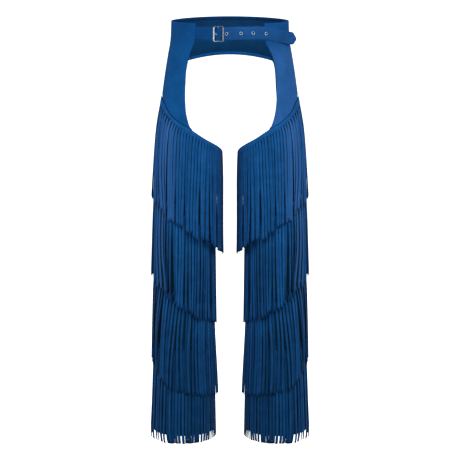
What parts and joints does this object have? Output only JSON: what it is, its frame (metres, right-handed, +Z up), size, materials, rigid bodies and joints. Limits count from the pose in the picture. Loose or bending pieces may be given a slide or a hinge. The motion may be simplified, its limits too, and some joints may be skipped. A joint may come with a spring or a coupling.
{
  "type": "fringed suede chaps",
  "caption": "Open-seat suede chaps with overlapping tiers of fringe round both legs, worn over trousers and closed at the waist by a buckled strap.",
  "frame": {"origin": "middle of the waist opening, at the height of the strap's middle line at the front", "axes": "+Z up towards the waist, -Y the wearer's front, +X the wearer's left"},
  "size_m": [0.3976, 0.2131, 1.03],
  "materials": {
    "suede": "blue suede, matt, short nap",
    "suede_inside": "flesh side of the same suede, darker",
    "fringe": "blue suede cut into narrow strips",
    "strap": "blue suede, doubled and topstitched",
    "nickel": "polished nickel plate"
  },
  "bodies": {
    "root": {"back_yoke": "suede_inside", "yoke_top_facing": "suede", "yoke_bottom_facing": "suede", "front_hip_left": "suede", "front_hip_right": "suede", "back_hip_left": "suede", "back_hip_right": "suede", "front_leg_left": "suede", "front_leg_right": "suede", "back_leg_left": "suede", "back_leg_right": "suede", "fringe_1_left": "fringe", "fringe_2_left": "fringe", "fringe_3_left": "fringe", "fringe_4_left": "fringe", "fringe_1_right": "fringe", "fringe_2_right": "fringe", "fringe_3_right": "fringe", "fringe_4_right": "fringe", "belt_strap": "strap", "buckle_tab": "strap", "buckle_frame": "nickel", "buckle_prong": "nickel", "eyelet_1": "nickel", "eyelet_2": "nickel", "eyelet_3": "nickel", "eyelet_4": "nickel", "eyelet_5": "nickel"}
  },
  "joints": []
}
